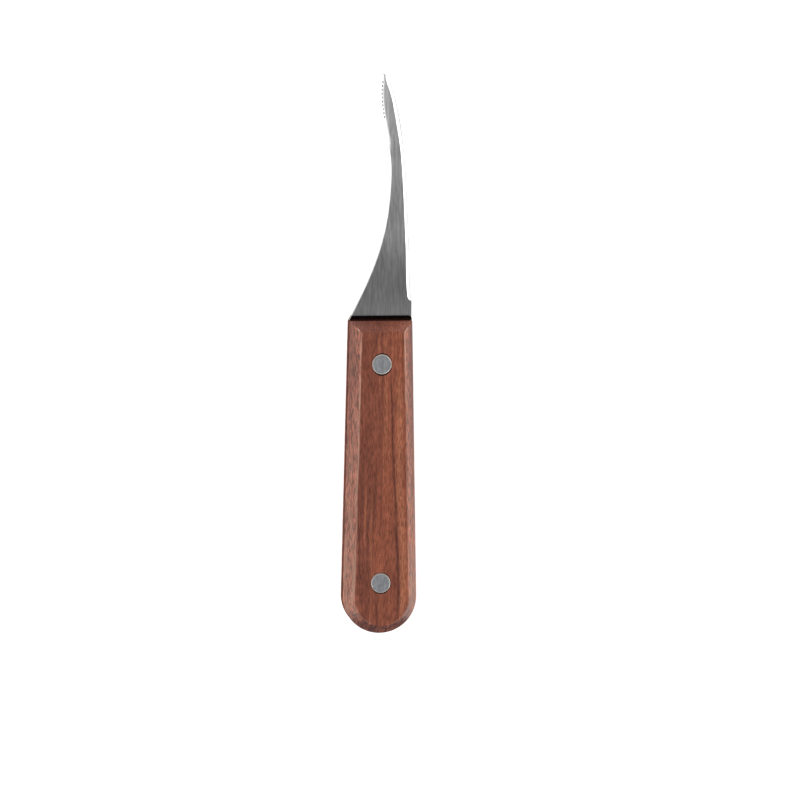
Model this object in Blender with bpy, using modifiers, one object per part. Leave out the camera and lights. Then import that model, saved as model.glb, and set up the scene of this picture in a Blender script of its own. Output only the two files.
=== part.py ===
"""Small curved carving knife: a full-tang steel blade, riveted between two chamfered wooden scales.

The knife lies on the flat of its lower scale. +Y points to the tip, +X to the cutting edge, and +Z up,
through the thickness. The origin is on the surface that it lies on, in the middle of its footprint.
Outlines are written in millimetres from the pommel's end and the handle's centre line.
"""

import math

import bmesh
import bpy
import numpy as np
from mathutils import Vector
from mathutils.geometry import interpolate_bezier

MM = 0.001

# Whole knife, in metres
LENGTH = 0.170
THICKNESS = 0.016
MID_PLANE = THICKNESS / 2
SEAM = 0.0003  # clearance between neighbouring solids

# Handle outline, shared by the tang, the liners and the scales
HANDLE_LENGTH = 0.09525
FRONT_HALF_WIDTH = 0.0095
POMMEL_RADIUS = 0.0112
POMMEL_STEPS = 24  # straight pieces in the half circle
POMMEL_TRIM = 0.000005  # keeps the loft's first section from closing to a line

# Layers, measured up and down from the middle of the steel
STEEL = 0.0012
LINER = 0.0005
LINER_PROUD = 0.00135  # how far a liner shows in front of its scale
LINER_BASE = STEEL / 2 + SEAM
SCALE_BASE = LINER_BASE + LINER + SEAM

# Chamfer around a scale's outer face
CHAMFER_RUN = 0.0030
CHAMFER_DROP = 0.0050

# Blade outline: (end point, handle, handle, end point), end to end, in millimetres
EDGE_CURVES = (
    ((9.5, 95.25), (9.5, 97.0), (9.5, 99.0), (9.5, 101.0)),
    ((9.5, 101.0), (8.6, 107.0), (9.0, 113.4), (8.6, 119.4)),
    ((8.6, 119.4), (8.0, 131.3), (7.5, 148.9), (5.1, 158.7)),
    ((5.1, 158.7), (4.3, 162.8), (2.8, 168.2), (0.8, 170.0)),
)
BACK_CURVES = (
    ((-9.5, 95.25), (-2.75, 108.2), (2.95, 119.8), (3.1, 140.6)),
    ((3.1, 140.6), (3.0, 146.9), (0.15, 156.8), (-0.05, 163.3)),
    ((-0.05, 163.3), (-0.15, 165.1), (0.3, 168.3), (0.5, 170.0)),
)
HEEL = 0.1010  # where the sharpened edge starts
PLUNGE_LENGTH = 0.0015
EDGE_BEVEL = 0.00115  # width of the ground band along the edge
EDGE_LAND = 0.0002  # thickness left at the edge
BACK_BEVEL = 0.00075  # width of the ground band behind the teeth
BACK_LAND = 0.0004
BACK_GRIND_START = 0.1437
BACK_GRIND_FULL = 0.1500
BEVEL_SHARE = 0.32  # most of the blade's width that one ground band takes
BLADE_STATIONS = 44

# Teeth on the concave side
TEETH = 10
FIRST_TOOTH = 0.1567
TOOTH_PITCH = 0.00117
GULLET_RADIUS = 0.0004
GULLET_OFFSET = 0.00014  # from a gullet's centre to the blade's outline

# Rivets, each a male and a female half
RIVET_PLACES = {"front": 0.0826, "rear": 0.0160}  # distance from the pommel's end
RIVET_ACROSS = -0.0003  # from the handle's centre line, towards the blade's back
HEAD_RADIUS = 0.0031
HEAD_THICKNESS = 0.0016
HEAD_RECESS = 0.0001  # depth of a head under the wood
TUBE_RADIUS = 0.0019
TUBE_BORE = 0.0013
TUBE_FLOOR = 0.0008  # solid length between the tube's bore and its head
STEM_RADIUS = 0.0010
HOLE_RADIUS = TUBE_RADIUS + SEAM
ROUND_STEPS = 32

STEEL_LOOK = ("blade_steel", (0.42, 0.42, 0.43), 0.32, 1.0)
WOOD_LOOK = ("red_wood", (0.30, 0.11, 0.07), 0.55, 0.0)
LINER_LOOK = ("black_liner", (0.012, 0.010, 0.010), 0.7, 0.0)
RIVET_LOOK = ("rivet_steel", (0.50, 0.50, 0.50), 0.30, 1.0)


def clear_scene():
    for obj in list(bpy.data.objects):
        bpy.data.objects.remove(obj, do_unlink=True)


def new_collection(name):
    collection = bpy.data.collections.new(name)
    bpy.context.scene.collection.children.link(collection)
    return collection


def material(name, colour, roughness, metallic):
    made = bpy.data.materials.get(name) or bpy.data.materials.new(name)
    made.use_nodes = True
    shader = made.node_tree.nodes["Principled BSDF"]
    shader.inputs["Base Color"].default_value = (*colour, 1.0)
    shader.inputs["Roughness"].default_value = roughness
    shader.inputs["Metallic"].default_value = metallic
    return made


def add_object(name, mesh, collection, look=None):
    obj = bpy.data.objects.new(name, mesh)
    collection.objects.link(obj)
    if look:
        mesh.materials.append(material(*look))
    return obj


def mesh_from(bm, name):
    bmesh.ops.recalc_face_normals(bm, faces=bm.faces)
    mesh = bpy.data.meshes.new(name)
    bm.to_mesh(mesh)
    bm.free()
    return mesh


def cut(obj, cutter):
    modifier = obj.modifiers.new(cutter.name, "BOOLEAN")
    modifier.operation = "DIFFERENCE"
    modifier.object = cutter


def add_cutter(name, radius, height, place, collection, steps=ROUND_STEPS):
    """An upright cylinder centred on place, left out of the model."""
    bm = bmesh.new()
    bmesh.ops.create_cone(bm, cap_ends=True, segments=steps, radius1=radius, radius2=radius, depth=height)
    cutter = add_object(name, mesh_from(bm, name), collection)
    cutter.location = place
    cutter.hide_render = True
    cutter.display_type = "WIRE"
    return cutter


def at(x, along, z):
    """A point from its distance along the knife, counted from the pommel's end."""
    return Vector((x, along - LENGTH / 2, MID_PLANE + z))


def half_width(along):
    """Half the handle's width: a straight taper that ends in a half circle."""
    if along < POMMEL_RADIUS:
        return math.sqrt(POMMEL_RADIUS**2 - (POMMEL_RADIUS - along) ** 2)
    share = (along - POMMEL_RADIUS) / (HANDLE_LENGTH - POMMEL_RADIUS)
    return POMMEL_RADIUS + (FRONT_HALF_WIDTH - POMMEL_RADIUS) * min(share, 1.0)


def side_reader(curves):
    """A function giving a Bezier outline's x at a distance along the knife."""
    points = []
    for ends in curves:
        start, first, second, end = (Vector((x, y, 0)) * MM for x, y in ends)
        points += interpolate_bezier(start, first, second, end, 40)
    along = [point.y for point in points]
    across = [point.x for point in points]
    return lambda distance: float(np.interp(distance, along, across))


back_of_blade = side_reader(BACK_CURVES)
edge_of_blade = side_reader(EDGE_CURVES)


def ramp(value, start, end):
    return min(max((value - start) / (end - start), 0.0), 1.0)


def blade_section(along):
    """Eight points around the steel at one distance from the pommel's end."""
    if along <= HANDLE_LENGTH:
        left, right = -half_width(along), half_width(along)
    else:
        left, right = back_of_blade(along), edge_of_blade(along)
    edge_band = min(EDGE_BEVEL, BEVEL_SHARE * (right - left))
    back_band = min(BACK_BEVEL, BEVEL_SHARE * (right - left))
    slope = (STEEL - EDGE_LAND) / 2 / EDGE_BEVEL
    full = min(STEEL, EDGE_LAND + 2 * slope * edge_band) if along > HEEL else STEEL
    ground = math.sqrt(1 - (1 - ramp(along, HEEL, HEEL + PLUNGE_LENGTH)) ** 2)
    back_ground = ramp(along, BACK_GRIND_START, BACK_GRIND_FULL)
    edge_land = full + (min(EDGE_LAND, full) - full) * ground
    back_land = full + (min(BACK_LAND, full) - full) * back_ground
    top = (
        (left, back_land / 2),
        (left + back_band, full / 2),
        (right - edge_band, full / 2),
        (right, edge_land / 2),
    )
    under = tuple((x, -z) for x, z in reversed(top))
    return [at(x, along, z) for x, z in top + under]


def blade_stations():
    """Distances of the sections: close together around the pommel, the plunge and the tip."""
    angles = [math.pi / 2 * step / (POMMEL_STEPS // 2) for step in range(1, POMMEL_STEPS // 2 + 1)]
    pommel = [POMMEL_TRIM] + [POMMEL_RADIUS * (1 - math.cos(angle)) for angle in angles]
    root = [HANDLE_LENGTH, (HANDLE_LENGTH + HEEL) / 2]
    plunge = [HEEL + PLUNGE_LENGTH * step / 4 for step in range(5)]
    start = plunge[-1]
    steps = [step / BLADE_STATIONS for step in range(1, BLADE_STATIONS + 1)]
    return pommel + root + plunge + [start + (LENGTH - start) * math.sin(s * math.pi / 2) for s in steps]


def make_blade(parts, cutters):
    """Blade and tang in one piece, lofted through its sections."""
    bm = bmesh.new()
    rings = [[bm.verts.new(point) for point in blade_section(along)] for along in blade_stations()]
    for ring, following in zip(rings, rings[1:]):
        for corner in range(len(ring)):
            following_corner = (corner + 1) % len(ring)
            bm.faces.new((ring[corner], ring[following_corner], following[following_corner], following[corner]))
    bm.faces.new(rings[0])
    bm.faces.new(rings[-1])
    blade = add_object("blade", mesh_from(bm, "blade"), parts, STEEL_LOOK)
    for tooth in range(TEETH):
        along = FIRST_TOOTH + TOOTH_PITCH * tooth
        place = at(back_of_blade(along) - GULLET_OFFSET, along, 0)
        cut(blade, add_cutter(f"gullet_{tooth}", GULLET_RADIUS, THICKNESS / 2, place, cutters, 12))
    for name, along in RIVET_PLACES.items():
        place = at(RIVET_ACROSS, along, 0)
        cut(blade, add_cutter(f"{name}_tang_hole", HOLE_RADIUS, THICKNESS / 2, place, cutters))
    return blade


def handle_outline(front):
    """The handle's outline as points, with its front end at the given distance."""
    points = [(half_width(front), front), (-half_width(front), front)]
    for step in range(POMMEL_STEPS + 1):
        angle = math.pi + math.pi * step / POMMEL_STEPS
        points.append((POMMEL_RADIUS * math.cos(angle), POMMEL_RADIUS * (1 + math.sin(angle))))
    return points


def slab(points, base, height, side):
    """A flat-sided slab over an outline, on the upper (+1) or the lower (-1) side, and its outer face."""
    bm = bmesh.new()
    bottom = bm.faces.new([bm.verts.new(at(x, along, side * base)) for x, along in points])
    grown = bmesh.ops.extrude_face_region(bm, geom=[bottom], use_keep_orig=True)
    outer = next(item for item in grown["geom"] if isinstance(item, bmesh.types.BMFace))
    bmesh.ops.translate(bm, vec=Vector((0, 0, side * height)), verts=outer.verts)
    bmesh.ops.recalc_face_normals(bm, faces=bm.faces)
    return bm, outer


def make_scale(name, side, parts, cutters):
    """A wooden scale: a slab whose outer face is stepped in by the chamfer, drilled for two rivets."""
    wall = MID_PLANE - SCALE_BASE - CHAMFER_DROP
    bm, outer = slab(handle_outline(HANDLE_LENGTH), SCALE_BASE, wall, side)
    bmesh.ops.inset_region(
        bm, faces=[outer], thickness=CHAMFER_RUN, depth=CHAMFER_DROP, use_boundary=True, use_even_offset=True
    )
    scale = add_object(name, mesh_from(bm, name), parts, WOOD_LOOK)
    head_depth = HEAD_RECESS + HEAD_THICKNESS + SEAM
    for rivet, along in RIVET_PLACES.items():
        bore_place = at(RIVET_ACROSS, along, 0)
        bore = add_cutter(f"{name}_{rivet}_bore", HOLE_RADIUS, THICKNESS * 2, bore_place, cutters)
        seat_place = at(RIVET_ACROSS, along, side * MID_PLANE)
        seat = add_cutter(f"{name}_{rivet}_seat", HEAD_RADIUS + SEAM, head_depth * 2, seat_place, cutters)
        cut(scale, bore)
        cut(scale, seat)
    return scale


def liner_outline():
    """The handle's outline, carried forward over the root of the blade."""
    front = HANDLE_LENGTH + LINER_PROUD
    corner = (half_width(HANDLE_LENGTH), HANDLE_LENGTH)
    left_front = (back_of_blade(front), front)
    left_corner = (-corner[0], corner[1])
    return [corner, (corner[0], front), left_front, left_corner] + handle_outline(HANDLE_LENGTH)[2:]


def make_liner(name, side, parts, cutters):
    bm, _outer = slab(liner_outline(), LINER_BASE, LINER, side)
    liner = add_object(name, mesh_from(bm, name), parts, LINER_LOOK)
    for rivet, along in RIVET_PLACES.items():
        place = at(RIVET_ACROSS, along, 0)
        cut(liner, add_cutter(f"{name}_{rivet}_hole", HOLE_RADIUS, THICKNESS * 2, place, cutters))
    return liner


def turned(name, profile, along, parts):
    """A turned piece on a rivet's axis, from (radius, height) points listed down its outer side."""
    mesh = bpy.data.meshes.new(name)
    points = [(radius, 0, height) for radius, height in profile]
    mesh.from_pydata(points, [(i, i + 1) for i in range(len(points) - 1)], [])
    piece = add_object(name, mesh, parts, RIVET_LOOK)
    piece.location = at(RIVET_ACROSS, along, 0)
    screw = piece.modifiers.new("turn", "SCREW")
    screw.steps = ROUND_STEPS
    screw.render_steps = ROUND_STEPS
    screw.use_merge_vertices = True
    screw.merge_threshold = 0.00001
    screw.use_smooth_shade = False
    return piece


def make_rivet(place, along, parts):
    """The male half's head lies in the upper scale and the female half's in the lower one."""
    head_top = MID_PLANE - HEAD_RECESS
    head_base = head_top - HEAD_THICKNESS
    mouth = head_base - SEAM
    tube_bottom = -head_base + TUBE_FLOOR
    stem_end = tube_bottom + SEAM
    male = [(0, head_top), (HEAD_RADIUS, head_top), (HEAD_RADIUS, head_base)]
    male += [(STEM_RADIUS, head_base), (STEM_RADIUS, stem_end), (0, stem_end)]
    female = [(0, tube_bottom), (TUBE_BORE, tube_bottom), (TUBE_BORE, mouth), (TUBE_RADIUS, mouth)]
    female += [(TUBE_RADIUS, -head_base), (HEAD_RADIUS, -head_base), (HEAD_RADIUS, -head_top), (0, -head_top)]
    turned(f"{place}_rivet_male", male, along, parts)
    turned(f"{place}_rivet_female", female, along, parts)


def build():
    clear_scene()
    parts = new_collection("carving_knife")
    cutters = new_collection("cutters")
    make_blade(parts, cutters)
    for name, side in (("upper", 1), ("lower", -1)):
        make_liner(f"liner_{name}", side, parts, cutters)
        make_scale(f"scale_{name}", side, parts, cutters)
    for place, along in RIVET_PLACES.items():
        make_rivet(place, along, parts)


build()
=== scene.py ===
"""Looks of the curved carving knife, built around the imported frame.

The knife lies along Y, with its tip at +Y and its cutting edge at +X. Outlines are in millimetres, counted
from the pommel's end and from the handle's centre line, as in the CAD. Materials count in millimetres from
the origin.
"""

import math

import bmesh
import bpy
import numpy as np
from mathutils import Matrix, Vector
from mathutils.geometry import interpolate_bezier


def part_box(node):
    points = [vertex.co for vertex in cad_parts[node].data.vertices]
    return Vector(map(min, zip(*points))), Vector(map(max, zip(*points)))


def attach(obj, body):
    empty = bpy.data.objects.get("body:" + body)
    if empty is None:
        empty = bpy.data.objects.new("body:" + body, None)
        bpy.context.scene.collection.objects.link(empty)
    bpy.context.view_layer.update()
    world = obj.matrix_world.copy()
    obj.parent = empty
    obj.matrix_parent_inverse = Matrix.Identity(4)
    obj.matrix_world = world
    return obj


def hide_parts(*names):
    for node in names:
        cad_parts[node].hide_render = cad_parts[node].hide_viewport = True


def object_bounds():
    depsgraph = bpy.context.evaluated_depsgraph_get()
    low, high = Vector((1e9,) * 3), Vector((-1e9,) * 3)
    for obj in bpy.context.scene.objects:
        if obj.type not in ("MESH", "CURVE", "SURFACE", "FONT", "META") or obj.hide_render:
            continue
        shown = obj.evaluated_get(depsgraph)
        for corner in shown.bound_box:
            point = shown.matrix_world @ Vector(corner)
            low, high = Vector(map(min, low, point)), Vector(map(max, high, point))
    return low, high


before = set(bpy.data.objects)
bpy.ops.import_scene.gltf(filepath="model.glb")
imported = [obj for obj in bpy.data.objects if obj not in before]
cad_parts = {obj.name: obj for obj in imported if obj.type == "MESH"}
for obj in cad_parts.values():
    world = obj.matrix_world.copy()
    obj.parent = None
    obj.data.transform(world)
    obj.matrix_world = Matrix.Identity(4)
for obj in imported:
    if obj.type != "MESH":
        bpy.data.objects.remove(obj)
cad_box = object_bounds()

MM = 0.001
BODY = "root"
REAR_END = cad_box[0].y
LENGTH = cad_box[1].y - cad_box[0].y
MID_PLANE = (cad_box[0].z + cad_box[1].z) / 2
HALF_THICKNESS = (cad_box[1].z - cad_box[0].z) / 2

# Handle
SCALE_LOW, SCALE_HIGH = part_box("scale_upper")
HANDLE_LENGTH = SCALE_HIGH.y - SCALE_LOW.y
POMMEL_RADIUS = SCALE_HIGH.x
FRONT_HALF_WIDTH = 9.5 * MM
POMMEL_STEPS = 72
CHAMFER_RUN = 3.0 * MM
CHAMFER_DROP = 5.0 * MM
CHAMFER_BULGE = 0.06 * MM
CHAMFER_STEPS = 4
ARRIS_RADIUS = 0.30 * MM
RAW_LIMIT = 0.25  # faces whose normal points less upwards than this are raw wood
THROUGH = HALF_THICKNESS * 4  # depth of a cutter that goes right through

# Layers: what shows is pressed together, with hairline seams
BLADE_LOW, BLADE_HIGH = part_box("blade")
STEEL = BLADE_HIGH.z - BLADE_LOW.z
HAIRLINE = 0.03 * MM
_, LINER_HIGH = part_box("liner_upper")
LINER_BASE = STEEL / 2 + HAIRLINE
LINER_TOP = LINER_HIGH.z - MID_PLANE
SCALE_BASE = LINER_TOP + HAIRLINE
# the liner's reach in front of the scales makes a black band that stands in for shade there
LINER_FRONT = LINER_HIGH.y - REAR_END
LINER_CORNER = 0.9 * MM
LINER_CORNER_STEPS = 6
WALL_SHADE_REACH = 0.8 * MM  # how far the painted shade of the scale's front wall reaches over the liner in front of the scale

# Blade outline: (end point, handle, handle, end point), end to end
EDGE_CURVES = (
    ((9.5, 95.25), (9.5, 97.0), (9.5, 99.0), (9.5, 101.0)),
    ((9.5, 101.0), (8.6, 107.0), (9.0, 113.4), (8.6, 119.4)),
    ((8.6, 119.4), (8.0, 131.3), (7.5, 148.9), (5.1, 158.7)),
    ((5.1, 158.7), (4.3, 162.8), (2.8, 168.2), (0.7, 170.0)),
)
BACK_CURVES = (
    ((-9.5, 95.25), (-2.75, 108.2), (2.95, 119.8), (3.1, 140.6)),
    ((3.1, 140.6), (3.0, 146.9), (0.15, 156.8), (-0.05, 163.3)),
    ((-0.05, 163.3), (-0.15, 165.1), (0.3, 168.3), (0.55, 170.0)),
)
HEEL = 101.0 * MM
PLUNGE_LENGTH = 1.5 * MM
EDGE_BEVELS = ((101.0, 1.05), (146.0, 1.05), (154.5, 1.32), (163.0, 1.08), (170.0, 1.05))  # distance, width
EDGE_LAND = 0.06 * MM
HONED_BAND = 0.40 * MM
HONED_SHARE = 0.3  # the most of the ground edge that is honed
HONED_STEP = 0.06 * MM
SMALLEST_BAND = 0.02 * MM
BACK_BEVEL = 0.95 * MM
BACK_SLOPE = 0.46
BACK_CURVE = 1.5
BACK_SHARES = (0.0, 0.4, 0.7, 1.0)  # where the back bevel's points lie across it
BACK_GRIND_START = 143.7 * MM
BACK_GRIND_FULL = 150.0 * MM
BEVEL_SHARE = 0.40  # the most of the blade's width that one bevel takes
SPINE_ROUND = 0.10 * MM
SPINE_GROUND_AWAY = 0.7  # share of the spine's round that the back bevel takes off

# Sections of the blade's loft
POMMEL_TRIM = 0.0002  # keeps the first section from closing to a line, as a share of the pommel's radius
POMMEL_SECTIONS = 40
PLUNGE_SECTIONS = 12
BODY_SECTIONS = 90
TIP_SECTIONS = 14
CURVE_STEPS = 120  # points read from each Bezier of the outline

# Teeth on the concave side
TEETH = 10
FIRST_TOOTH = 156.7 * MM
TOOTH_PITCH = 1.17 * MM
GULLET_HALF = 0.34 * MM
GULLET_DEPTH = 0.16 * MM
GULLET_WALL = 0.26 * MM
GULLET_FOOT = 0.6  # how far the gullet's floor leans towards the middle of the steel
STEPS_PER_GULLET = 8

# Painted reflection on the brushed flats along the blade, darker by the handle and lighter towards the tip:
# Y, then the metal's lightness
FLAT_REFLECTION_TONES = (
    (10.0, 0.450),
    (18.0, 0.365),
    (28.0, 0.390),
    (36.0, 0.580),
    (50.0, 0.590),
    (58.0, 0.710),
    (63.0, 0.680),
    (71.0, 0.800),
    (82.0, 0.960),
)

# Lines of the wood: Y where they start and end, X at both ends, half width, strength
UPPER_VEINS = (
    (-50.0, -8.0, 4.4, 2.4, 0.55, 0.75),
    (-80.0, -50.0, 5.2, 4.4, 0.65, 0.75),
    (-50.0, -34.0, -2.4, -2.0, 0.7, 0.55),
    (-57.0, -47.0, -4.5, -4.2, 0.45, 0.6),
    (-69.0, -46.0, -7.2, -7.4, 0.5, 0.6),
    (-82.0, -73.0, -1.4, -1.8, 0.6, 0.6),
    (-13.0, -9.0, 6.9, 6.7, 0.35, 0.5),
    (-84.0, -74.0, 6.8, 8.8, 2.2, 0.70),
)
UPPER_PALE = (
    (-82.0, -6.0, 6.7, 4.9, 1.7, 0.45),
    (-65.0, -43.0, -3.5, -3.4, 0.5, 0.30),
    (-30.0, 6.0, 1.0, 0.6, 0.8, 0.30),
)
LOWER_VEINS = (
    (-74.0, -20.0, -3.6, -2.2, 0.6, 0.7),
    (-40.0, 4.0, 4.1, 5.0, 0.5, 0.6),
    (-80.0, -52.0, 6.6, 5.8, 0.7, 0.6),
)
LOWER_PALE = (
    (-78.0, -10.0, -6.2, -5.4, 1.5, 0.40),
    (-52.0, -8.0, 1.2, 1.6, 0.7, 0.35),
)

VEIN_FADE = 6.0  # length over which a line of the wood fades in or out

# Patterns of the wood: changes per millimetre along X, Y and Z, detail, roughness, seed
WANDER = ((0.05, 0.03, 0.05), 2.0, 0.50, 0)
BANDS = ((0.22, 0.010, 0.08), 2.0, 0.55, 3)
STREAKS = ((1.2, 0.030, 0.35), 3.0, 0.60, 7)
FIBRES = ((3.6, 0.42, 1.6), 2.0, 0.65, 11)
FLECKS = ((4.2, 0.38, 1.8), 1.0, 0.50, 17)
PORES = ((7.0, 0.80, 1.8), 2.0, 0.50, 19)
MOTTLE = ((0.30, 0.14, 0.30), 3.0, 0.60, 23)
SHEEN_PATCHES = ((0.9, 0.07, 0.60), 3.0, 0.65, 29)
HIGHLIGHT_PATCHES = ((0.5, 0.07, 0.5), 3.0, 0.60, 31)
WANDER_REACH = 2.5  # how far the grain strays sideways

# How a face's normal tells the handle's parts apart: from no share to a full one
SLANTED = (0.90, 0.65)  # upwards: chamfers and walls
SAWN = (0.35, 0.10)  # upwards: walls alone
FRONT = (0.25, 0.85)  # along the knife: the front facet
BUTT = (-0.25, -0.85)  # along the knife: the pommel's end

# Colours of the wood
COLD_BAND = (0.232, 0.070, 0.043)
WARM_BAND = (0.440, 0.128, 0.065)
DARK_STREAK = (0.165, 0.048, 0.030)
PALE_STREAK = (0.530, 0.178, 0.092)
PALE_LINE = (0.560, 0.210, 0.108)
VEIN = (0.095, 0.030, 0.023)
FLECK = (0.100, 0.032, 0.024)
PORE = (0.080, 0.026, 0.020)
FRONT_END = (0.120, 0.038, 0.030)
# the pommel's end grain together with painted shade
BUTT_END_AND_SHADE = (0.058, 0.020, 0.019)
# painted sheen on the chamfers
SHEEN_WOOD = (0.385, 0.228, 0.158)
# painted shade low on the sides
LOW_SHADE_WOOD = (0.105, 0.025, 0.015)
SAWN_SIDE = (0.215, 0.074, 0.052)
# the walls facing the tip: end grain and painted shade
SAWN_FRONT_SHADE = (0.045, 0.018, 0.015)
SAWN_STREAK = (0.080, 0.028, 0.020)
# painted highlight on the arrises
ARRIS_HIGHLIGHT = (0.600, 0.330, 0.240)
WOOD_SPECULAR = 0.26
HALF_WIDTH = 9.0  # of the handle, as the wood's shading counts it

# Height of the fine relief
WOOD_RELIEF = 0.025
STEEL_RELIEF = 0.002
DARK_STEEL_RELIEF = 0.003
FELT_RELIEF = 0.01

# Colours of the liners, whose black band in front of the scales stands in for shade, and of the floor
FIBRE_AND_SHADE_BLACKS = ((0.0030, 0.0018, 0.0015), (0.0060, 0.0032, 0.0026))
WALL_SHADE_BROWN = (0.042, 0.013, 0.010)
BOARD_WHITES = ((0.90, 0.90, 0.90), (0.93, 0.93, 0.93))
BOARD_GLOW = 0.60

# Rivets
RIVETS = ("front", "rear")
HEAD_THICKNESS = 1.6 * MM
SEAT_DEPTH = 1.9 * MM
TUBE_RADIUS = 1.9 * MM
TUBE_BORE = 1.3 * MM
TUBE_FLOOR = 0.8 * MM
STEM_RADIUS = 1.25 * MM
STEM_SHORT = 0.3 * MM
SEAT_GAP = 0.03 * MM
SEAT_TEARS = {"front": 0.30 * MM, "rear": 0.12 * MM}
TUBE_GAP = 0.05 * MM
TUBE_HOLE = TUBE_RADIUS + TUBE_GAP
HEAD_BEVEL = 0.38 * MM
HEAD_BEVEL_TILT = math.radians(30)
HEAD_DOME = 0.004 * MM
RIM_LIMIT = 0.2  # outer faces whose normal points less upwards than this are the head's side
MERGE_DISTANCE = 0.005 * MM
ROUND_STEPS = 96


def at(x, along, z):
    """A point from its distance along the knife, counted from the pommel's end."""
    return Vector((x, REAR_END + along, MID_PLANE + z))


def ramp(value, start, end):
    """0 up to start, 1 from end on, and straight in between."""
    return min(max((value - start) / (end - start), 0.0), 1.0)


def smooth(share):
    """The same share, eased at both ends."""
    return share * share * (3 - 2 * share)


def add_object(name, mesh, *materials):
    """An object in the scene, with its materials in the order given."""
    obj = bpy.data.objects.new(name, mesh)
    bpy.context.scene.collection.objects.link(obj)
    for made in materials:
        mesh.materials.append(made)
    return obj


def mesh_from(bm, name):
    bmesh.ops.recalc_face_normals(bm, faces=bm.faces)
    mesh = bpy.data.meshes.new(name)
    bm.to_mesh(mesh)
    bm.free()
    return mesh


def soften(obj, degrees):
    """Smooth shading, but sharp where two faces meet at more than this angle."""
    obj.data.shade_smooth()
    obj.data.set_sharp_from_angle(angle=math.radians(degrees))


def settle(obj):
    """Turns an object's modifiers into its mesh."""
    graph = bpy.context.evaluated_depsgraph_get()
    mesh = bpy.data.meshes.new_from_object(obj.evaluated_get(graph))
    obj.modifiers.clear()
    obj.data = mesh


def drill(obj, radius, place, depth, longer=0.0):
    """Cuts an upright hole, centred on place and drawn out along Y, and takes the cutter away again."""
    bm = bmesh.new()
    sides = {"segments": ROUND_STEPS, "radius1": radius, "radius2": radius}
    bmesh.ops.create_cone(bm, cap_ends=True, depth=depth, **sides)
    bmesh.ops.scale(bm, vec=(1, 1 + longer / radius, 1), verts=bm.verts)
    bmesh.ops.translate(bm, vec=place, verts=bm.verts)
    cutter = add_object("drill", mesh_from(bm, "drill"))
    modifier = obj.modifiers.new("hole", "BOOLEAN")
    modifier.operation = "DIFFERENCE"
    modifier.object = cutter
    settle(obj)
    bpy.data.objects.remove(cutter, do_unlink=True)


# ---------------------------------------------------------------- materials


class Surface:
    """A material's node tree, with short calls for the nodes that the surfaces share."""

    def __init__(self, name, roughness, metallic=0.0, specular=0.5):
        self.material = bpy.data.materials.new(name)
        self.material.use_nodes = True
        self.tree = self.material.node_tree
        self.shader = self.tree.nodes["Principled BSDF"]
        self.shader.inputs["Roughness"].default_value = roughness
        self.shader.inputs["Metallic"].default_value = metallic
        self.shader.inputs["Specular IOR Level"].default_value = specular
        object_place = self.tree.nodes.new("ShaderNodeTexCoord").outputs["Object"]
        self.place = self.vector("SCALE", object_place, scale=1 / MM)

    def set(self, socket, value):
        if isinstance(value, bpy.types.NodeSocket):
            self.tree.links.new(value, socket)
        elif value is not None:
            socket.default_value = value

    def node(self, kind, **settings):
        made = self.tree.nodes.new(kind)
        for name, value in settings.items():
            setattr(made, name, value)
        return made

    def vector(self, operation, first, second=None, scale=None):
        made = self.node("ShaderNodeVectorMath", operation=operation)
        self.set(made.inputs[0], first)
        self.set(made.inputs[1], second)
        if scale:
            made.inputs["Scale"].default_value = scale
        return made.outputs["Vector"]

    def math(self, operation, first, second=None, clamp=False):
        made = self.node("ShaderNodeMath", operation=operation, use_clamp=clamp)
        self.set(made.inputs[0], first)
        self.set(made.inputs[1], second)
        return made.outputs["Value"]

    def times(self, product, *others):
        for value in others:
            product = self.math("MULTIPLY", product, value)
        return product

    def axes(self, vector=None):
        made = self.node("ShaderNodeSeparateXYZ")
        self.set(made.inputs[0], vector or self.place)
        return made.outputs

    def noise(self, density, detail=2.0, roughness=0.5, seed=0.0, place=None):
        """Noise from 0 to 1. density gives its changes per millimetre along X, Y and Z."""
        stretched = self.vector("MULTIPLY", place or self.place, density)
        moved = self.vector("ADD", stretched, (seed, seed * 1.7, seed * 2.3))
        made = self.node("ShaderNodeTexNoise")
        self.set(made.inputs["Vector"], moved)
        made.inputs["Scale"].default_value = 1.0
        made.inputs["Detail"].default_value = detail
        made.inputs["Roughness"].default_value = roughness
        return made.outputs["Fac"]

    def spread(self, value, start, end, low=0.0, high=1.0):
        """value's stretch from start to end, drawn out from low to high with soft ends."""
        made = self.node("ShaderNodeMapRange", interpolation_type="SMOOTHSTEP")
        names = ("Value", "From Min", "From Max", "To Min", "To Max")
        for name, given in zip(names, (value, start, end, low, high)):
            self.set(made.inputs[name], given)
        return made.outputs["Result"]

    def mix(self, share, first, second, blend="MIX"):
        made = self.node("ShaderNodeMix", data_type="RGBA", blend_type=blend)
        self.set(made.inputs["Factor"], share)
        self.set(made.inputs["A"], self.colour(first))
        self.set(made.inputs["B"], self.colour(second))
        return made.outputs["Result"]

    @staticmethod
    def colour(value):
        return (*value, 1.0) if isinstance(value, tuple) and len(value) == 3 else value

    def grey(self, value):
        made = self.node("ShaderNodeCombineColor")
        for channel in ("Red", "Green", "Blue"):
            self.set(made.inputs[channel], value)
        return made.outputs["Color"]

    def shaded(self, colour, light):
        """colour, times a light that leaves it as it is at 1."""
        return self.mix(1.0, colour, self.grey(light), "MULTIPLY")

    def bump(self, height, depth):
        """Relief whose full height is depth."""
        made = self.node("ShaderNodeBump")
        made.inputs["Strength"].default_value = 1.0
        made.inputs["Distance"].default_value = depth * MM
        self.set(made.inputs["Height"], height)
        self.set(self.shader.inputs["Normal"], made.outputs["Normal"])

    def finish(self, colour, roughness=None):
        self.set(self.shader.inputs["Base Color"], colour)
        self.set(self.shader.inputs["Roughness"], roughness)
        return self.material


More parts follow.
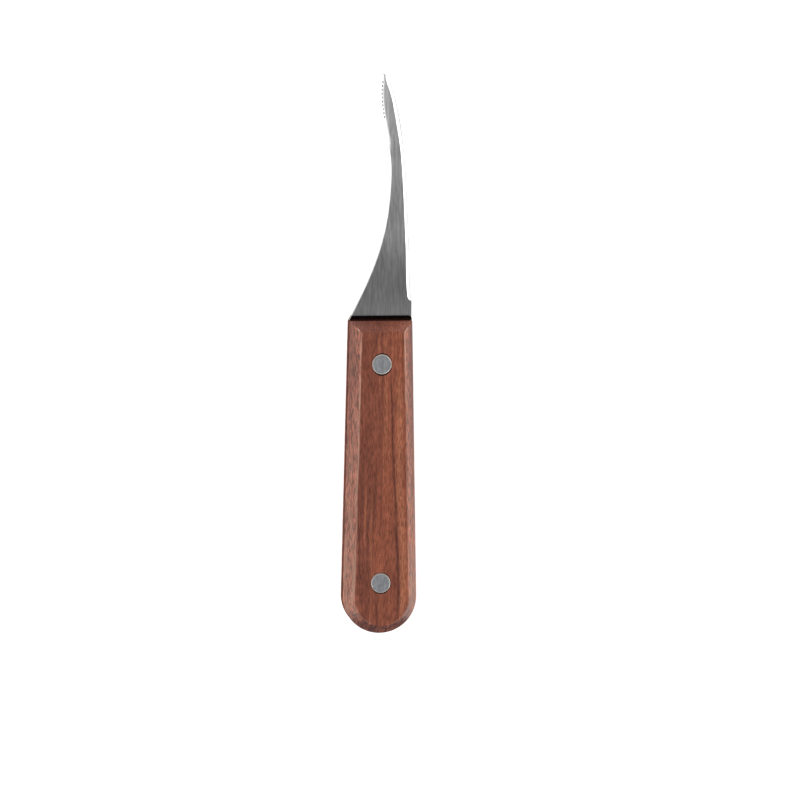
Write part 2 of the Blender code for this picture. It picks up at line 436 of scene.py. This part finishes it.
class Wood(Surface):
    """Red-brown straight-grained wood, coloured in layers, from its broad figure to its painted shade, sheen
    and highlights.

    Each layer takes the colour so far and gives it back changed. raised goes from 0 at the middle of the
    handle's thickness to 1 at its outer faces. slanted is 1 on the chamfers and the walls, and sawn on the
    walls alone. calm is lower on the front facet.
    """

    def __init__(self, name, seed, specular):
        super().__init__(name, 0.5, specular=specular)
        self.seed = seed
        place = self.axes()
        self.along = place["Y"]
        shift = self.times(self.math("SUBTRACT", self.pattern(WANDER), 0.5), WANDER_REACH)
        self.across = self.math("ADD", place["X"], shift)
        wandering = self.node("ShaderNodeCombineXYZ")
        self.set(wandering.inputs["X"], self.across)
        self.set(wandering.inputs["Y"], self.along)
        self.set(wandering.inputs["Z"], self.math("ADD", place["Z"], self.times(shift, 0.5)))
        self.grain = wandering.outputs["Vector"]

        height = self.math("ABSOLUTE", self.math("SUBTRACT", place["Z"], MID_PLANE / MM))
        self.raised = self.spread(height, 2.6, 7.6)
        self.facing = self.axes(self.node("ShaderNodeTexCoord").outputs["Normal"])
        upward = self.math("ABSOLUTE", self.facing["Z"])
        self.slanted = self.spread(upward, *SLANTED)
        self.sawn = self.spread(upward, *SAWN)
        self.calm = self.spread(self.facing["Y"], *FRONT, 1.0, 0.45)

        self.streaks = self.pattern(STREAKS, self.grain)
        self.fibres = self.pattern(FIBRES, self.grain)
        self.open_pores = self.spread(self.pattern(PORES, self.grain), 0.66, 0.76)

    def pattern(self, kind, place=None):
        """One of the wood's patterns, from 0 to 1, different for each seed of the wood."""
        density, detail, roughness, seed = kind
        return self.noise(density, detail, roughness, self.seed + seed, place)

    def line(self, start, end, from_x, to_x, width, strength):
        """One line of the grain, fading in and out along the handle, from 0 to its strength."""
        centre = self.spread(self.along, start, end, from_x, to_x)
        offset = self.math("ABSOLUTE", self.math("SUBTRACT", self.across, centre))
        body = self.spread(offset, width, width * 0.1)
        fade = min(VEIN_FADE, (end - start) / 3)
        fade_in = self.spread(self.along, start - fade, start + fade)
        fade_out = self.spread(self.along, end + fade, end - fade, 0.0, strength)
        return self.times(body, fade_in, fade_out)

    def lines(self, lines):
        strongest = self.line(*lines[0])
        for line in lines[1:]:
            strongest = self.math("MAXIMUM", strongest, self.line(*line))
        return strongest

    def figure(self, dark_lines, pale_lines):
        """The broad colours, which are the first layer: bands, streaks and single lines, and painted light
        that makes the wood lighter and warmer towards +X.
        """
        bands = self.pattern(BANDS, self.grain)
        # painted light: both scales lighter and warmer towards +X
        side = self.spread(self.across, -HALF_WIDTH, HALF_WIDTH)
        warmth_and_light = self.math("ADD", self.times(bands, 0.7), self.times(side, 0.30))
        tone = self.mix(self.spread(warmth_and_light, 0.32, 0.95), COLD_BAND, WARM_BAND)
        tone = self.mix(self.spread(self.streaks, 0.54, 0.72, 0.0, 0.60), tone, DARK_STREAK)
        tone = self.mix(self.spread(self.streaks, 0.46, 0.28, 0.0, 0.45), tone, PALE_STREAK)
        tone = self.mix(self.lines(pale_lines), tone, PALE_LINE)
        return self.mix(self.lines(dark_lines), tone, VEIN)

    def fibre_shade(self):
        """Light and dark of the fibres, strongest on the chamfers, which cut across them."""
        mottle = self.pattern(MOTTLE)
        contrast = self.times(self.math("ADD", self.times(self.slanted, 0.58), 0.30), self.calm)
        shade = self.times(self.spread(self.fibres, 0.32, 0.68, -1.0, 1.0), contrast)
        return self.times(self.math("ADD", shade, 1.0), self.spread(mottle, 0.3, 0.7, 0.90, 1.10))

    def flecked(self, tone):
        """Dark flecks and open pores."""
        flecks = self.pattern(FLECKS, self.grain)
        share = self.times(self.spread(flecks, 0.60, 0.66, 0.0, 0.60), self.calm)
        tone = self.mix(share, tone, FLECK)
        return self.mix(self.times(self.open_pores, 0.5), tone, PORE)

    def end_grain_and_shade(self, tone):
        """Darker end grain, a little at the front; at the pommel much darker, which is end grain and painted
        shade.
        """
        tone = self.mix(self.spread(self.facing["Y"], *FRONT, 0.0, 0.12), tone, FRONT_END)
        # painted shade with the end grain on faces turned to the pommel
        butt = self.spread(self.facing["Y"], *BUTT)
        streaked = self.spread(self.streaks, 0.38, 0.62, 0.50, 0.95)
        return self.mix(self.times(butt, streaked), tone, BUTT_END_AND_SHADE)

    def sheened(self, tone):
        """Pale greyish patches of painted sheen on the chamfers, more of them towards the pommel."""
        # painted sheen in patches on the chamfers
        sheen = self.pattern(SHEEN_PATCHES, self.grain)
        share = self.times(
            self.spread(sheen, 0.40, 0.63, 0.14, 0.54),
            self.slanted,
            self.spread(self.along, -75.0, 5.0, 1.0, 0.40),
            self.spread(self.math("ABSOLUTE", self.facing["Y"]), 0.6, 0.2),
        )
        return self.mix(share, tone, SHEEN_WOOD)

    def low_shade(self, tone):
        """Painted shade: darker low on the sides, more so towards +X, and towards the front."""
        share = self.times(
            self.math("SUBTRACT", 1.0, self.raised),
            self.spread(self.across, -HALF_WIDTH, HALF_WIDTH, 0.50, 1.0),
            self.spread(self.along, -60.0, 5.0, 0.25, 1.0),
            self.spread(self.facing["Y"], 0.7, 0.3, 0.15, 1.0),
        )
        return self.mix(share, tone, LOW_SHADE_WOOD)

    def walled(self, tone, shade):
        """The sawn walls below the chamfers; those facing the tip very dark brown, partly end grain and
        partly painted shade.
        """
        wall = self.mix(self.spread(self.facing["Y"], 0.5, 0.9), SAWN_SIDE, SAWN_FRONT_SHADE)
        wall = self.mix(self.spread(self.streaks, 0.50, 0.68, 0.0, 0.70), wall, SAWN_STREAK)
        return self.mix(self.times(self.sawn, 0.80), tone, self.shaded(wall, shade))

    def arris_highlighted(self, tone):
        """Pale patches of painted highlight along the arrises of the sides."""
        patches = self.pattern(HIGHLIGHT_PATCHES)
        share = self.times(
            self.spread(patches, 0.34, 0.62, 0.0, 0.85),
            self.spread(self.math("ABSOLUTE", self.facing["X"]), 0.05, 0.25),
            self.spread(self.raised, 0.5, 0.9),
            self.spread(self.along, -60.0, 0.0, 0.25, 1.0),
        )
        return self.mix(share, tone, ARRIS_HIGHLIGHT)


def wood_material(name, seed, dark_lines, pale_lines, specular=WOOD_SPECULAR, lit_arris=False):
    """One scale's wood; the flag for the arrises adds their painted highlight."""
    wood = Wood(name, seed, specular)
    shade = wood.fibre_shade()
    tone = wood.shaded(wood.figure(dark_lines, pale_lines), shade)
    for layer in (wood.flecked, wood.end_grain_and_shade, wood.sheened, wood.low_shade):
        tone = layer(tone)
    tone = wood.walled(tone, shade)
    if lit_arris:
        tone = wood.arris_highlighted(tone)
    wood.bump(wood.math("SUBTRACT", wood.times(wood.fibres, 0.35), wood.open_pores), WOOD_RELIEF)
    polish = wood.spread(wood.fibres, 0.3, 0.7, 0.33, 0.45)
    butt = wood.spread(wood.facing["Y"], -0.30, -0.75, 0.0, 0.95)
    rough = wood.math("MAXIMUM", butt, wood.times(wood.sawn, 0.95))
    return wood.finish(tone, wood.math("MAXIMUM", polish, rough))


def brush_marks(surface, lines):
    """Fine lines along Y, from 0 to 1."""
    coarse = surface.noise(lines, detail=3.0, roughness=0.7, seed=1.0)
    fine = surface.noise(tuple(3.1 * step for step in lines), detail=2.0, roughness=0.6, seed=5.0)
    return surface.math("ADD", surface.times(coarse, 0.6), surface.times(fine, 0.4))


def flat_steel():
    """The blade's brushed flats, with painted reflection: darker by the handle and lighter towards the tip
    and the teeth.
    """
    steel = Surface("blade_brushed", 0.34, metallic=1.0)
    axes = steel.axes()
    brush = brush_marks(steel, (1.6, 0.09, 1.6))
    cloud = steel.noise((0.30, 0.10, 0.30), detail=3.0, roughness=0.6, seed=9.0)
    start, end = FLAT_REFLECTION_TONES[0][0], FLAT_REFLECTION_TONES[-1][0]
    # painted reflection: the flats' lightness along the blade
    tones = steel.node("ShaderNodeValToRGB")
    tones.color_ramp.interpolation = "CARDINAL"
    stops = tones.color_ramp.elements
    for along, _tone in FLAT_REFLECTION_TONES[1:-1]:
        stops.new((along - start) / (end - start))
    for stop, (along, tone) in zip(stops, FLAT_REFLECTION_TONES):
        stop.color = (tone, tone, tone * 1.01, 1.0)
    from_start = steel.math("SUBTRACT", axes["Y"], start)
    steel.set(tones.inputs["Fac"], steel.math("DIVIDE", from_start, end - start, clamp=True))
    # painted reflection: the flat lighter by the teeth near the tip
    by_back, by_tip = steel.spread(axes["X"], 4.0, 0.5), steel.spread(axes["Y"], 58.0, 78.0, 0.0, 0.20)
    teeth_reflection = steel.times(by_back, by_tip)
    lift = steel.times(
        steel.spread(brush, 0.34, 0.66, 0.80, 1.20),
        steel.spread(cloud, 0.3, 0.7, 0.92, 1.08),
        steel.math("ADD", teeth_reflection, 0.97),
    )
    tone = steel.shaded(tones.outputs["Color"], lift)
    steel.bump(brush, STEEL_RELIEF)
    return steel.finish(tone, steel.spread(brush, 0.3, 0.7, 0.29, 0.39))


def dark_steel(name, metallic, specular, low, high):
    """Dark, mottled steel that paints shade: on the tang's edges between the scales, in the gullets and on
    the rivet heads' sides in their seats.
    """
    steel = Surface(name, 0.55, metallic, specular)
    scale = steel.noise((1.4, 0.5, 3.0), detail=3.0, roughness=0.6, seed=3.0)
    tone = steel.mix(steel.spread(scale, 0.3, 0.7), low, high)
    steel.bump(scale, DARK_STEEL_RELIEF)
    return steel.finish(tone, steel.spread(scale, 0.3, 0.7, 0.40, 0.52))


def rivet_steel(name, low, high, roughness):
    """Polished then brushed steel, a little blue."""
    steel = Surface(name, roughness, metallic=1.0)
    brush = brush_marks(steel, (2.6, 0.20, 2.6))
    cloud = steel.noise((0.7, 0.5, 0.7), detail=3.0, roughness=0.6, seed=13.0)
    shade = steel.math("ADD", steel.times(brush, 0.6), steel.times(cloud, 0.4))
    tone = steel.mix(steel.spread(shade, 0.38, 0.62), low, high)
    steel.bump(brush, STEEL_RELIEF)
    return steel.finish(tone, steel.spread(brush, 0.3, 0.7, roughness * 0.85, roughness * 1.15))


def ground_steel(name, low, high, roughness):
    """Freshly ground steel, with fine scratches across the band."""
    steel = Surface(name, roughness, metallic=1.0)
    scratches = steel.noise((0.8, 9.0, 9.0), detail=2.0, roughness=0.6, seed=2.0)
    tone = steel.grey(steel.spread(scratches, 0.3, 0.7, low, high))
    steel.bump(scratches, STEEL_RELIEF)
    return steel.finish(tone, steel.spread(scratches, 0.3, 0.7, roughness * 0.8, roughness * 1.2))


def liner_and_shade_material():
    """Black fibre sheet: matt and felted, with a faint brown mottle; its band in front of the scales stands
    in for the shade there, and painted shade of the scale's front wall lies on it where the scale ends.
    """
    sheet = Surface("black_fibre_and_shade", 0.75, specular=0.03)
    felt = sheet.noise((9.0, 9.0, 9.0), detail=3.0, roughness=0.7, seed=4.0)
    mottle = sheet.noise((0.6, 0.6, 0.6), detail=2.0, roughness=0.5, seed=8.0)
    tone = sheet.mix(sheet.spread(mottle, 0.35, 0.65), *FIBRE_AND_SHADE_BLACKS)
    scale_front = SCALE_HIGH.y / MM
    # painted shade: the brown of the scale's shaded front wall, on the liner next to it
    wall_shade = sheet.spread(sheet.axes()["Y"], scale_front + WALL_SHADE_REACH / MM, scale_front, 0.0, 0.85)
    tone = sheet.mix(wall_shade, tone, WALL_SHADE_BROWN)
    sheet.bump(felt, FELT_RELIEF)
    return sheet.finish(tone, sheet.spread(felt, 0.3, 0.7, 0.65, 0.85))


def floor_material():
    """Pale matt board, faintly mottled."""
    board = Surface("pale_board", 0.9, specular=0.1)
    mottle = board.noise((0.02, 0.02, 0.02), detail=3.0, roughness=0.6, seed=6.0)
    tone = board.mix(mottle, *BOARD_WHITES)
    board.shader.inputs["Emission Color"].default_value = (1.0, 1.0, 1.0, 1.0)
    board.shader.inputs["Emission Strength"].default_value = BOARD_GLOW
    return board.finish(tone)


# ---------------------------------------------------------------- shapes


def half_width(along):
    """Half the handle's width: a straight taper that ends in a half circle."""
    if along < POMMEL_RADIUS:
        return math.sqrt(max(POMMEL_RADIUS**2 - (POMMEL_RADIUS - along) ** 2, 0.0))
    share = (along - POMMEL_RADIUS) / (HANDLE_LENGTH - POMMEL_RADIUS)
    return POMMEL_RADIUS + (FRONT_HALF_WIDTH - POMMEL_RADIUS) * min(share, 1.0)


def side_reader(curves):
    """A function giving a Bezier outline's x at a distance along the knife."""
    points = []
    for ends in curves:
        start, first, second, end = (Vector((x, y, 0)) * MM for x, y in ends)
        points += interpolate_bezier(start, first, second, end, CURVE_STEPS)
    along = [point.y for point in points]
    across = [point.x for point in points]
    return lambda distance: float(np.interp(distance, along, across))


BRUSHED, GROUND, HONED, BACK_GROUND, GULLET_SHADE, TANG_EDGE_SHADE = range(6)  # the blade's finishes; the last two are painted shade
POLISHED, LIT_ARRIS, RAW = range(3)  # the wood's; the arris faces carry a painted highlight
FACE, HIGHLIGHT_RIM, SHADED_SIDE = range(3)  # a rivet head's: its face, its rim with a painted highlight and its side with painted shade
back_of_blade = side_reader(BACK_CURVES)
edge_of_blade = side_reader(EDGE_CURVES)


def gullet(along):
    """How deep a place lies in a gullet between two teeth, from 0 to 1."""
    nearest = min(max(round((along - FIRST_TOOTH) / TOOTH_PITCH), 0), TEETH - 1)
    offset = (along - FIRST_TOOTH - nearest * TOOTH_PITCH) / GULLET_HALF
    return math.sqrt(max(1 - offset * offset, 0.0))


def blade_section(along):
    """Sixteen points around the steel at one distance from the pommel's end."""
    if along <= HANDLE_LENGTH:
        left, right = -half_width(along), half_width(along)
    else:
        left, right = back_of_blade(along), edge_of_blade(along)
    width = right - left
    distances, widths = zip(*EDGE_BEVELS)
    bevel = float(np.interp(along / MM, distances, widths)) * MM
    slope = (STEEL - EDGE_LAND) / 2 / bevel
    widest = min(bevel, BEVEL_SHARE * width)
    plunge = ramp(along, HEEL, HEEL + PLUNGE_LENGTH)
    edge_band = max(widest * math.sqrt(1 - (1 - plunge) ** 2), SMALLEST_BAND)
    full = min(STEEL, EDGE_LAND + 2 * slope * widest) if along > HEEL else STEEL
    honed = min(HONED_BAND, edge_band * HONED_SHARE)
    edge_top = max(full / 2 - slope * (edge_band - honed), EDGE_LAND / 2)
    edge_land = max(edge_top - HONED_STEP - slope * honed, EDGE_LAND / 2)

    ground = smooth(ramp(along, BACK_GRIND_START, BACK_GRIND_FULL))
    band = max(min(BACK_BEVEL, BEVEL_SHARE * width) * ground, 3 * SPINE_ROUND)
    drop = BACK_SLOPE * band * ground
    corner = SPINE_ROUND * (1 - SPINE_GROUND_AWAY * ground)
    bite = gullet(along) * min(band / BACK_BEVEL, 1.0)
    cut = bite * GULLET_DEPTH
    rim = cut + corner + bite * GULLET_WALL
    foot = full / 2 - drop - corner
    top = [(left + cut, foot * (1 - GULLET_FOOT * bite))]
    for share in BACK_SHARES:
        inward = rim + (band - rim) * share if band > rim else rim
        rise = max(1 - (inward - corner) / max(band - corner, corner), 0.0)
        top.append((left + inward, full / 2 - drop * rise**BACK_CURVE))
    top += [(right - edge_band, full / 2), (right - honed, edge_top), (right, edge_land)]
    under = [(x, -z) for x, z in reversed(top)]
    return [at(x, along, z) for x, z in top + under]


def blade_stations():
    """Distances of the sections: close together at the pommel, the plunge, the teeth and the tip."""
    places = [POMMEL_RADIUS * POMMEL_TRIM]
    for step in range(1, POMMEL_SECTIONS + 1):
        places.append(POMMEL_RADIUS * (1 - math.cos(math.pi / 2 * step / POMMEL_SECTIONS)))
    places += [HANDLE_LENGTH, HANDLE_LENGTH + 2 * MM, HEEL - 1 * MM]
    for step in range(PLUNGE_SECTIONS + 1):
        places.append(HEEL + PLUNGE_LENGTH * (1 - math.cos(math.pi / 2 * step / PLUNGE_SECTIONS)))
    places += list(np.linspace(places[-1], FIRST_TOOTH - TOOTH_PITCH, BODY_SECTIONS)[1:])
    for tooth in range(TEETH):
        centre = FIRST_TOOTH + TOOTH_PITCH * tooth
        for step in range(STEPS_PER_GULLET + 1):
            places.append(centre - GULLET_HALF * math.cos(math.pi * step / STEPS_PER_GULLET))
    places += list(np.linspace(places[-1], LENGTH, TIP_SECTIONS)[1:])
    return places


def blade_finish(corner, along, near_tooth):
    """Which finish one face of the loft has.

    side counts a section's faces: -1 on the back, 0 at its corner, 1 to 3 on its ground band, 4 on the flat,
    5 on the ground edge, 6 on the honed band and 7 at the very edge.
    """
    side = min(corner, 14 - corner)
    if along < HANDLE_LENGTH:
        # the tang's edges between the scales take painted shade
        return BRUSHED if 0 < side < 5 else TANG_EDGE_SHADE
    if along < HEEL or side == 4:
        return BRUSHED
    if side > 4:
        return HONED if side == 6 else GROUND
    if along < BACK_GRIND_START:
        return BRUSHED
    # painted shade in the gullets
    return GULLET_SHADE if near_tooth and side < 1 else BACK_GROUND


def make_blade(finishes):
    """Blade and full tang in one loft, in several finishes of the same steel, with painted shade in the
    gullets and on the tang's edges.
    """
    bm = bmesh.new()
    stations = blade_stations()
    rings = [[bm.verts.new(point) for point in blade_section(along)] for along in stations]
    for ring, following, start, end in zip(rings, rings[1:], stations, stations[1:]):
        near_tooth = gullet((start + end) / 2) > 0
        for corner in range(len(ring)):
            near = (corner + 1) % len(ring)
            face = bm.faces.new((ring[corner], ring[near], following[near], following[corner]))
            face.material_index = blade_finish(corner, start, near_tooth)
    for ring, finish in ((rings[0], TANG_EDGE_SHADE), (rings[-1], GROUND)):
        bm.faces.new(ring).material_index = finish
    blade = add_object("carved_blade", mesh_from(bm, "carved_blade"), *finishes)
    for place in RIVETS:
        drill(blade, TUBE_HOLE, on_axis(place, 0), STEEL * 3)
    soften(blade, degrees=12)
    dress(blade, "blade")


def handle_outline():
    points = [(half_width(HANDLE_LENGTH), HANDLE_LENGTH), (-half_width(HANDLE_LENGTH), HANDLE_LENGTH)]
    for step in range(POMMEL_STEPS + 1):
        angle = math.pi + math.pi * step / POMMEL_STEPS
        points.append((POMMEL_RADIUS * math.cos(angle), POMMEL_RADIUS * (1 + math.sin(angle))))
    return points


def slab(points, base, height, side):
    """A flat-sided slab over an outline, on the upper (+1) or the lower (-1) side, and its outer face."""
    bm = bmesh.new()
    bottom = bm.faces.new([bm.verts.new(at(x, along, side * base)) for x, along in points])
    grown = bmesh.ops.extrude_face_region(bm, geom=[bottom], use_keep_orig=True)
    outer = next(item for item in grown["geom"] if isinstance(item, bmesh.types.BMFace))
    bmesh.ops.translate(bm, vec=Vector((0, 0, side * height)), verts=outer.verts)
    bmesh.ops.recalc_face_normals(bm, faces=bm.faces)
    return bm, outer


def on_axis(place, z):
    """A point on a rivet's axis."""
    low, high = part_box(f"{place}_rivet_female")
    return at((low.x + high.x) / 2, (low.y + high.y) / 2 - REAR_END, z)


def chamfer_steps():
    """The chamfer from the wall up, as (inward, upward) steps along a slight arc."""
    points = []
    length = math.hypot(CHAMFER_RUN, CHAMFER_DROP)
    for step in range(CHAMFER_STEPS + 1):
        share = step / CHAMFER_STEPS
        bulge = CHAMFER_BULGE * 4 * share * (1 - share) / length
        inward = CHAMFER_RUN * share - bulge * CHAMFER_DROP
        points.append((inward, CHAMFER_DROP * share + bulge * CHAMFER_RUN))
    return [(end[0] - start[0], end[1] - start[1]) for start, end in zip(points, points[1:])]


def make_scale(name, side, materials):
    """A wooden scale, chamfered all round, with softened arrises and a seat for each rivet head."""
    wall = HALF_THICKNESS - SCALE_BASE - CHAMFER_DROP
    bm, outer = slab(handle_outline(), SCALE_BASE, wall, side)
    for run, rise in chamfer_steps():
        bmesh.ops.inset_region(
            bm, faces=[outer], thickness=run, depth=rise, use_boundary=True, use_even_offset=True
        )
    scale = add_object(f"wood_{name}", mesh_from(bm, name), *materials)
    arris = scale.modifiers.new("arris", "BEVEL")
    arris.width = ARRIS_RADIUS
    arris.segments = 3
    arris.limit_method = "ANGLE"
    arris.angle_limit = math.radians(20)
    # the arris faces take the wood with the painted highlight
    arris.material = LIT_ARRIS
    settle(scale)
    for place in RIVETS:
        low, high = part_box(f"{place}_rivet_male")
        seat = (high.x - low.x) / 2 + SEAT_GAP
        drill(scale, TUBE_HOLE, on_axis(place, 0), THROUGH)
        drill(scale, seat, on_axis(place, side * HALF_THICKNESS), 2 * SEAT_DEPTH, longer=SEAT_TEARS[place])
    for face in scale.data.polygons:
        if abs(face.normal.z) < RAW_LIMIT:
            face.material_index = RAW
    soften(scale, degrees=25)
    dress(scale, name)


def liner_outline():
    """The handle's outline, carried forward over the blade's root, with a rounded corner by the edge; the
    part carried forward shows as a black band that stands in for shade in front of the scale.
    """
    side = half_width(HANDLE_LENGTH)
    points = [(side, HANDLE_LENGTH)]
    for step in range(LINER_CORNER_STEPS + 1):
        angle = math.pi / 2 * step / LINER_CORNER_STEPS
        x = side - LINER_CORNER * (1 - math.cos(angle))
        points.append((x, LINER_FRONT - LINER_CORNER * (1 - math.sin(angle))))
    points += [(back_of_blade(LINER_FRONT), LINER_FRONT), (-side, HANDLE_LENGTH)]
    return points + handle_outline()[2:]


def make_liner(name, side, material):
    bm, _outer = slab(liner_outline(), LINER_BASE, LINER_TOP - LINER_BASE, side)
    liner = add_object(f"fibre_{name}", mesh_from(bm, name), material)
    for place in RIVETS:
        drill(liner, TUBE_HOLE, on_axis(place, 0), THROUGH)
    soften(liner, degrees=30)
    dress(liner, name)


def turned(name, profile, axis, radius, materials):
    """One half of a rivet, turned from (radius, height) points; materials for its face, its rim with a
    painted highlight and its side with painted shade.
    """
    mesh = bpy.data.meshes.new(name)
    points = [(reach, 0, height) for reach, height in profile]
    mesh.from_pydata(points, [(i, i + 1) for i in range(len(points) - 1)], [])
    piece = add_object(name, mesh)
    screw = piece.modifiers.new("turn", "SCREW")
    screw.steps = ROUND_STEPS
    screw.render_steps = ROUND_STEPS
    screw.use_merge_vertices = True
    screw.merge_threshold = MERGE_DISTANCE
    settle(piece)
    piece.data.materials.clear()
    for made in materials:
        piece.data.materials.append(made)
    for face in piece.data.polygons:
        if math.hypot(face.center.x, face.center.y) > radius - HEAD_BEVEL:
            face.material_index = HIGHLIGHT_RIM if abs(face.normal.z) > RIM_LIMIT else SHADED_SIDE
    piece.data.transform(Matrix.Translation(axis))
    soften(piece, degrees=30)
    return piece


def head_profile(radius, top, base):
    """From the middle of a head's face, over its bevelled rim and down its side."""
    bevel = HEAD_BEVEL * math.tan(HEAD_BEVEL_TILT)
    return [
        (0.0, top),
        (radius * 0.6, top - HEAD_DOME),
        (radius - HEAD_BEVEL * 1.15, top - HEAD_DOME * 2),
        (radius - HEAD_BEVEL, top - HEAD_DOME * 4),
        (radius - HEAD_BEVEL * 0.1, top - HEAD_DOME * 4 - bevel * 0.9),
        (radius, top - HEAD_DOME * 4 - bevel * 1.3),
        (radius, base),
    ]


def make_rivet(place, materials):
    """Both halves of a rivet: heads in the seats, and the stem inside the tube."""
    low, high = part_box(f"{place}_rivet_male")
    radius = (high.x - low.x) / 2
    top = high.z - MID_PLANE
    base = top - HEAD_THICKNESS
    floor = -base + TUBE_FLOOR
    stem_end = floor + STEM_SHORT
    mouth = base - TUBE_GAP
    male = head_profile(radius, top, base) + [(STEM_RADIUS, base), (STEM_RADIUS, stem_end), (0.0, stem_end)]
    bore = [(0.0, floor), (TUBE_BORE, floor), (TUBE_BORE, mouth)]
    tube = [(TUBE_RADIUS, mouth), (TUBE_RADIUS, -base)]
    under_head = [(reach, -height) for reach, height in reversed(head_profile(radius, top, base))]
    female = bore + tube + under_head
    for half, node, profile in (("stem_half", "male", male), ("tube_half", "female", female)):
        piece = turned(f"{place}_rivet_{half}", profile, on_axis(place, 0), radius, materials)
        dress(piece, f"{place}_rivet_{node}")


def dress(piece, node):
    """Puts a finished piece in place of its CAD node."""
    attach(piece, BODY)
    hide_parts(node)


# ---------------------------------------------------------------- stage, light and camera

FLOOR_HALF_SIZE = 1.5

CAMERA_LENS = 300.0
CAMERA_SENSOR = 36.0
CAMERA_REACH = 10.0
VIEW_WIDTH = 242.1 * MM
LEAN_LEFT = math.radians(7.39)
LEAN_TO_TIP = math.radians(7.0)
TWIST = math.radians(0.34)
AIM = Vector((6.24 * MM, -14.2 * MM, MID_PLANE))

# The white surroundings: strength near the horizon and overhead, and the heights between which it changes
HORIZON = 0.75
ZENITH = 0.37
HORIZON_HEIGHT = 0.1
ZENITH_HEIGHT = 0.75

PANEL_LENGTH = 1.0
PANEL_HEIGHT = 0.50
PANEL_SIDE = 0.60
PANEL_REAR = -0.10
PANEL_LIFT = 0.26
LEFT_POWER = 3.2
RIGHT_POWER = 2.4


def make_floor():
    bm = bmesh.new()
    bmesh.ops.create_grid(bm, x_segments=8, y_segments=8, size=FLOOR_HALF_SIZE)
    floor = add_object("floor", mesh_from(bm, "floor"), floor_material())
    floor.location.z = cad_box[0].z


def add_panel(name, side, power):
    """A light panel beside the knife, at +X (+1) or -X (-1), facing the origin."""
    data = bpy.data.lights.new(name, "AREA")
    data.shape = "RECTANGLE"
    data.size = PANEL_LENGTH
    data.size_y = PANEL_HEIGHT
    data.energy = power
    panel = bpy.data.objects.new(name, data)
    bpy.context.scene.collection.objects.link(panel)
    panel.location = (side * PANEL_SIDE, PANEL_REAR, PANEL_LIFT)
    panel.rotation_euler = (-panel.location).to_track_quat("-Z", "Y").to_euler()


def make_light():
    """White surroundings, dimmer overhead, and a panel on each side."""
    world = bpy.data.worlds.new("soft_studio")
    bpy.context.scene.world = world
    world.use_nodes = True
    nodes, links = world.node_tree.nodes, world.node_tree.links
    split = nodes.new("ShaderNodeSeparateXYZ")
    dimming = nodes.new("ShaderNodeMapRange")
    dimming.interpolation_type = "SMOOTHSTEP"
    links.new(nodes.new("ShaderNodeTexCoord").outputs["Generated"], split.inputs[0])
    links.new(split.outputs["Z"], dimming.inputs["Value"])
    limits = {
        "From Min": HORIZON_HEIGHT,
        "From Max": ZENITH_HEIGHT,
        "To Min": HORIZON,
        "To Max": ZENITH,
    }
    for name, value in limits.items():
        dimming.inputs[name].default_value = value
    links.new(dimming.outputs["Result"], nodes["Background"].inputs["Strength"])
    nodes["Background"].inputs["Color"].default_value = (1.0, 1.0, 1.0, 1.0)
    add_panel("left_panel", -1, LEFT_POWER)
    add_panel("right_panel", 1, RIGHT_POWER)


def make_camera():
    """A long lens looking down, leaning a little to the left and towards the tip."""
    data = bpy.data.cameras.new("camera")
    data.lens = CAMERA_LENS
    data.sensor_width = CAMERA_SENSOR
    camera = bpy.data.objects.new("camera", data)
    bpy.context.scene.collection.objects.link(camera)
    height = math.cos(LEAN_LEFT) * math.cos(LEAN_TO_TIP)
    towards = Vector((-math.sin(LEAN_LEFT), math.sin(LEAN_TO_TIP), height)).normalized()
    up = (Vector((0, 1, 0)) - towards * towards.y).normalized()
    turn = Matrix((up.cross(towards), up, towards)).transposed() @ Matrix.Rotation(TWIST, 3, "Z")
    camera.location = AIM + towards * (VIEW_WIDTH * CAMERA_LENS / CAMERA_SENSOR)
    camera.rotation_euler = turn.to_euler()
    data.clip_end = CAMERA_REACH
    bpy.context.scene.camera = camera


def build():
    finishes = {
        BRUSHED: flat_steel(),
        GROUND: ground_steel("blade_ground", 0.86, 0.95, 0.22),
        HONED: ground_steel("blade_honed", 0.31, 0.38, 0.24),
        BACK_GROUND: ground_steel("blade_back_ground", 0.78, 0.88, 0.50),
        # painted shade in the gullets and on the tang's edges
        GULLET_SHADE: dark_steel("blade_gullet_shade", 1.0, 0.5, (0.020, 0.020, 0.020), (0.050, 0.050, 0.050)),
        TANG_EDGE_SHADE: dark_steel("tang_edge_shade", 0.0, 0.0, (0.130, 0.050, 0.036), (0.190, 0.082, 0.060)),
    }
    make_blade([finishes[number] for number in sorted(finishes)])
    for name, side, seed, veins, pale in (
        ("scale_upper", 1, 0.0, UPPER_VEINS, UPPER_PALE),
        ("scale_lower", -1, 40.0, LOWER_VEINS, LOWER_PALE),
    ):
        polished = wood_material(f"wood_{name}", seed, veins, pale)
        # the wood with the painted highlight on its arrises
        lit_arris = wood_material(f"worn_{name}", seed, veins, pale, lit_arris=True)
        raw = wood_material(f"raw_{name}", seed, veins, pale, specular=0.0)
        make_scale(name, side, (polished, lit_arris, raw))
    sheet = liner_and_shade_material()
    make_liner("liner_upper", 1, sheet)
    make_liner("liner_lower", -1, sheet)
    face = rivet_steel("rivet_brushed", (0.42, 0.44, 0.46), (0.64, 0.66, 0.68), 0.34)
    # painted highlight on the rivet heads' bevelled rims
    rim = rivet_steel("rivet_rim_highlight", (0.80, 0.76, 0.71), (0.97, 0.93, 0.88), 0.45)
    # painted shade on the sides of the rivet heads, in their seats
    side = dark_steel("rivet_side_shade", 0.0, 0.0, (0.010, 0.006, 0.005), (0.028, 0.014, 0.010))
    for place in RIVETS:
        make_rivet(place, (face, rim, side))
    make_floor()
    make_light()
    make_camera()
    bpy.context.scene.view_settings.view_transform = "Standard"


build()
